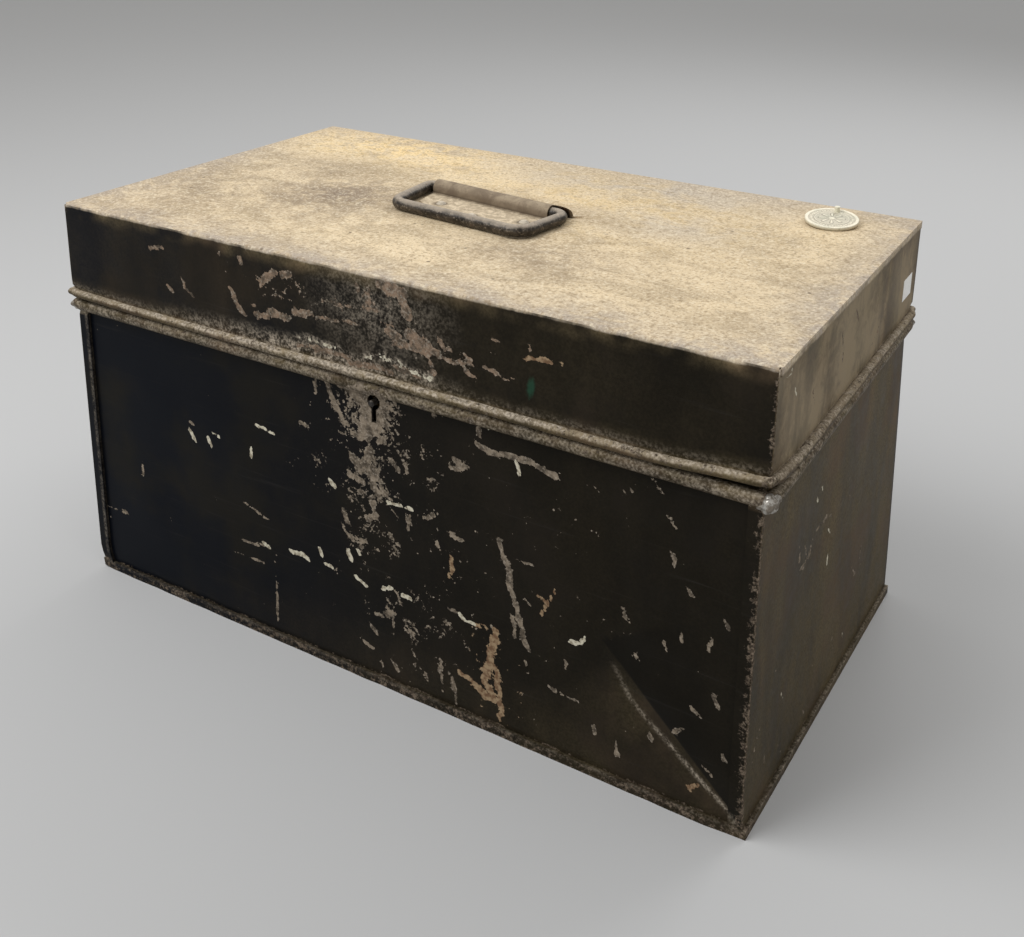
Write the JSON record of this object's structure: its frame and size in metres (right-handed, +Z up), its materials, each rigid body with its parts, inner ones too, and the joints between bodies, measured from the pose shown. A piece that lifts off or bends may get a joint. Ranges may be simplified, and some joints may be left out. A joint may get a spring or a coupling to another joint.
{
  "type": "deed box",
  "caption": "Rectangular japanned sheet-iron deed box with a deep hinged cap lid, a folding bail handle, a warded lock with a drill-pin keyhole and a round metal tag on the lid.",
  "frame": {"origin": "middle of the underside, on the plane the box stands on", "axes": "+X to the right along the front, -Y out of the front with the keyhole, +Z up"},
  "size_m": [0.5182, 0.3029, 0.294],
  "materials": {
    "japanned": "worn black japanning over tinned iron, chipped and rusted",
    "lid_japanned": "dusty, rusted tan-brown over black japanning",
    "solder": "dull lead and tin solder",
    "hinge_iron": "japanned wrought iron, rusty",
    "iron": "rusty iron",
    "lock_iron": "rusty iron",
    "lock_brass": "dull, tarnished",
    "spring_steel": "blued spring steel",
    "handle_iron": "worn dark paint over rusty iron",
    "tag_metal": "pale tarnished metal",
    "paper": "aged white paper"
  },
  "bodies": {
    "body": {"front_panel": "japanned", "back_panel": "japanned", "left_end": "japanned", "right_end": "japanned", "bottom_panel": "japanned", "bead_solder": "solder", "hinge_body_leaf_left": "hinge_iron", "hinge_body_leaf_right": "hinge_iron", "hinge_body_rivets": "iron", "lock_plate": "lock_iron", "lock_case": "lock_iron", "key_post": "iron", "ward_rings": "lock_brass", "bolt_studs": "iron", "bolt_spring": "spring_steel"},
    "bolt": {"lock_bolt": "lock_brass"},
    "lid": {"lid_sheet": "lid_japanned", "lid_left_end": "lid_japanned", "lid_right_end": "lid_japanned", "lid_wire": "iron", "hinge_lid_leaf_left": "hinge_iron", "hinge_lid_leaf_right": "hinge_iron", "hinge_lid_rivets": "iron", "hinge_pin_left": "iron", "hinge_pin_right": "iron", "lock_staple": "lock_iron", "handle_strap": "handle_iron", "handle_rivets": "handle_iron", "tag_disc": "tag_metal", "tag_peg": "tag_metal", "paper_label": "paper"},
    "bail": {"handle_bail": "handle_iron"}
  },
  "joints": [
    {"name": "lid_hinge", "type": "hinge", "parent": "body", "child": "lid", "pos_m": [0, 0.1516, 0.21675], "axis": [-1, 0, 0], "range_deg": [0, 190]},
    {"name": "bail_hinge", "type": "hinge", "parent": "lid", "child": "bail", "pos_m": [-0.0075, 0.013, 0.2884], "axis": [-0.9925, 0.1219, 0], "range_deg": [0, 95]},
    {"name": "bolt_slide", "type": "slide", "parent": "body", "child": "bolt", "axis": [1, 0, 0], "range_m": [0, 0.009]}
  ]
}
